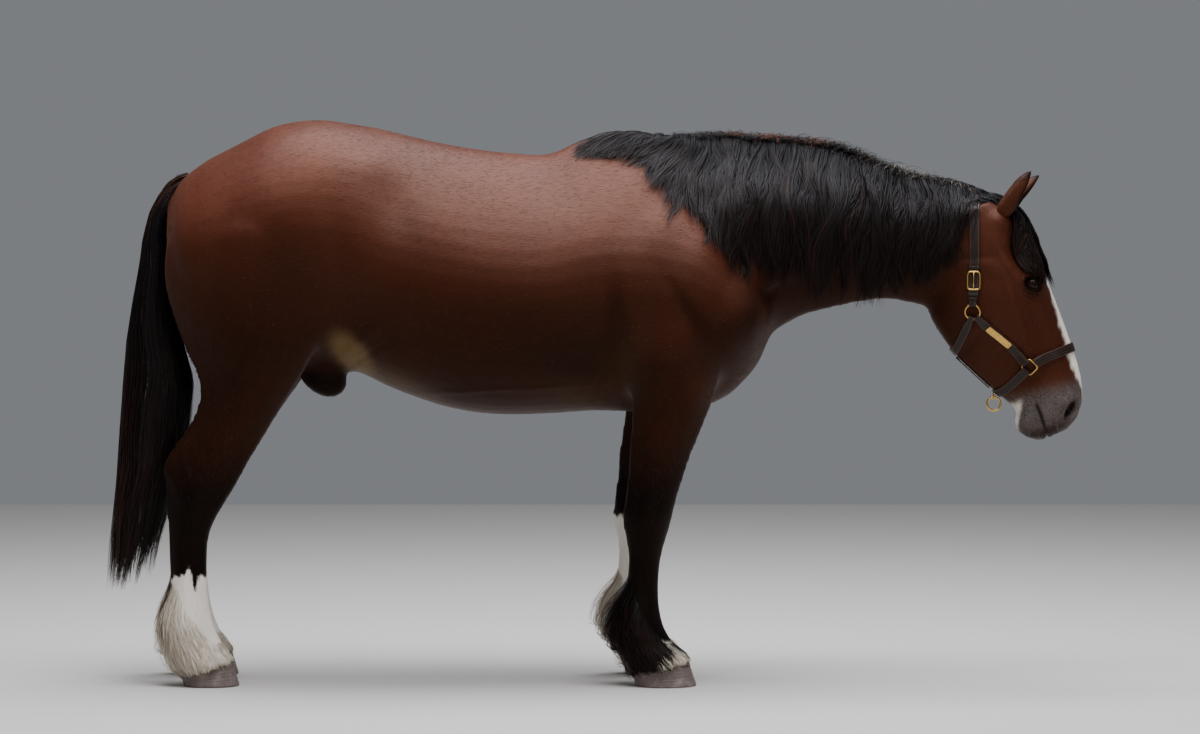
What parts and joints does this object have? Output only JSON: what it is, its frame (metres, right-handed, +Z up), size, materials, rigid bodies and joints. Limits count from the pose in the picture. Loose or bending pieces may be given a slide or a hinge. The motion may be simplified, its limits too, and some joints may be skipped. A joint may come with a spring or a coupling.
{
  "type": "heavy draught horse",
  "caption": "Life-size heavy draught horse standing square in a leather halter: bay coat, long black mane and tail, white blaze and stockings, feathered feet; still, as a museum shows it.",
  "frame": {"origin": "on the floor under the middle of the bounding box", "axes": "+X towards the nose, +Y to the horse's left, +Z up"},
  "size_m": [3.0367, 0.7436, 1.7365],
  "materials": {
    "bay_coat": "short flat hair with a soft sheen",
    "black_hair": "long hair",
    "white_hair": "long hair",
    "hoof_horn": "horn, lightly ridged",
    "dark_eye": "wet and glossy",
    "halter_leather": "oiled, dark",
    "halter_brass": "satin"
  },
  "bodies": {
    "root": {"cheek_ring_left": "halter_brass", "cheek_ring_right": "halter_brass", "cheek_strap_left": "halter_leather", "cheek_strap_right": "halter_leather", "chin_strap": "halter_leather", "crown_buckle": "halter_brass", "crown_strap": "halter_leather", "ear_left": "bay_coat", "ear_right": "bay_coat", "eye_left": "dark_eye", "eye_right": "dark_eye", "forearm_left": "bay_coat", "forearm_right": "bay_coat", "gaskin_left": "bay_coat", "gaskin_right": "bay_coat", "head": "bay_coat", "hoof_fore_left": "hoof_horn", "hoof_fore_right": "hoof_horn", "hoof_hind_left": "hoof_horn", "hoof_hind_right": "hoof_horn", "jaw_strap": "halter_leather", "lead_loop": "halter_brass", "lead_ring": "halter_brass", "name_plate": "halter_brass", "neck": "bay_coat", "noseband": "halter_leather", "shank_fore_left": "white_hair", "shank_fore_right": "black_hair", "shank_hind_left": "white_hair", "shank_hind_right": "white_hair", "square_ring_left": "halter_brass", "square_ring_right": "halter_brass", "tail": "black_hair", "throat_strap": "halter_leather", "torso": "bay_coat"}
  },
  "joints": []
}
